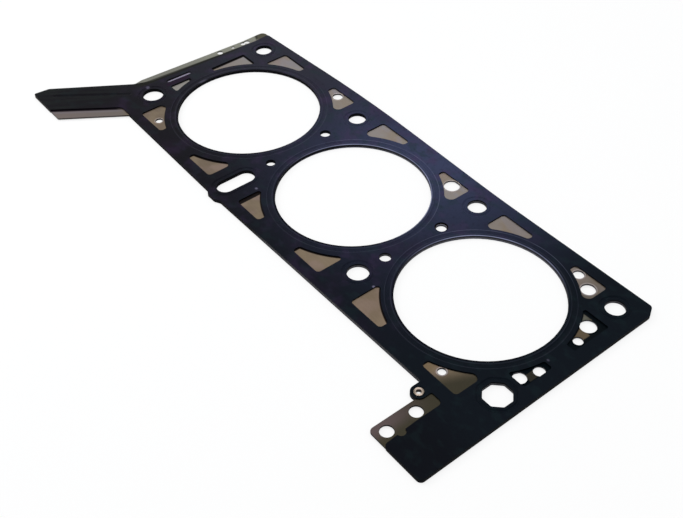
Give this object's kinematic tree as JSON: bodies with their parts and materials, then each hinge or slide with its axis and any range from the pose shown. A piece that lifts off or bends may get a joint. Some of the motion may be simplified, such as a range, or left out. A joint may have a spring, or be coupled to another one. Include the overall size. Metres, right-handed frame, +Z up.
{
  "type": "cylinder head gasket",
  "caption": "Flat multi-layer steel gasket that seals a cylinder head to one bank of an engine block, with bores, bolt holes, coolant windows and embossed beads.",
  "frame": {"origin": "on the axis of the middle bore, in the plane of the lowest face", "axes": "+X along the row of bores towards the end with the tab, +Y across towards the long edge without the tab, +Z up through the stack"},
  "size_m": [0.4084, 0.1744, 0.0025],
  "materials": {
    "coating": "satin black elastomer coating on spring steel",
    "bare_steel": "dull rolled steel, bare",
    "stopper_steel": "rolled steel, bare",
    "bronze": "worn bronze-coloured plating"
  },
  "bodies": {
    "root": {"bottom_active_layer": "coating", "distance_plate": "bare_steel", "carrier_plate": "bare_steel", "stopper_ring_1": "stopper_steel", "stopper_ring_2": "stopper_steel", "stopper_ring_3": "stopper_steel", "top_active_layer": "coating", "eyelet": "bronze"}
  },
  "joints": []
}
